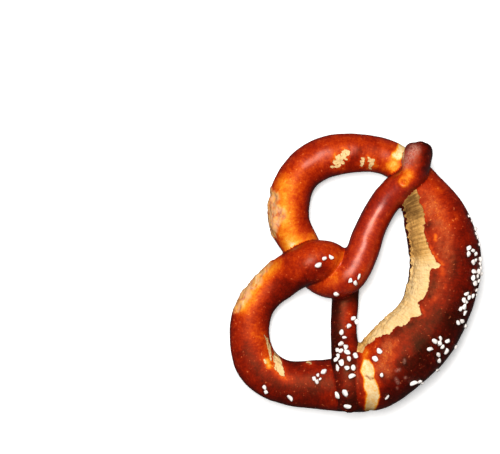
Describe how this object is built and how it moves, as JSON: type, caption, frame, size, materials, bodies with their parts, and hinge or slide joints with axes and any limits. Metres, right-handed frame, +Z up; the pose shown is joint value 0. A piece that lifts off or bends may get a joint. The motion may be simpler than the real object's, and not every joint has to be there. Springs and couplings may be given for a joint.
{
  "type": "soft pretzel",
  "caption": "Lye-baked soft pretzel: a thick split belly, thin twisted arms, two round loops, coarse salt on a glossy brown crust.",
  "frame": {"origin": "middle of the outline, on the surface that the pretzel lies on", "axes": "+X across, from the left arm's end to the right arm's end; +Y from the thick belly to the two loops; +Z up through the thickness"},
  "size_m": [0.1584, 0.1252, 0.0342],
  "materials": {
    "crust": "glossy lye-browned bread crust, mahogany to orange, cream where it tore or stretched",
    "salt": "coarse opaque white pretzel salt"
  },
  "bodies": {
    "root": {"pretzel": "crust"}
  },
  "joints": []
}
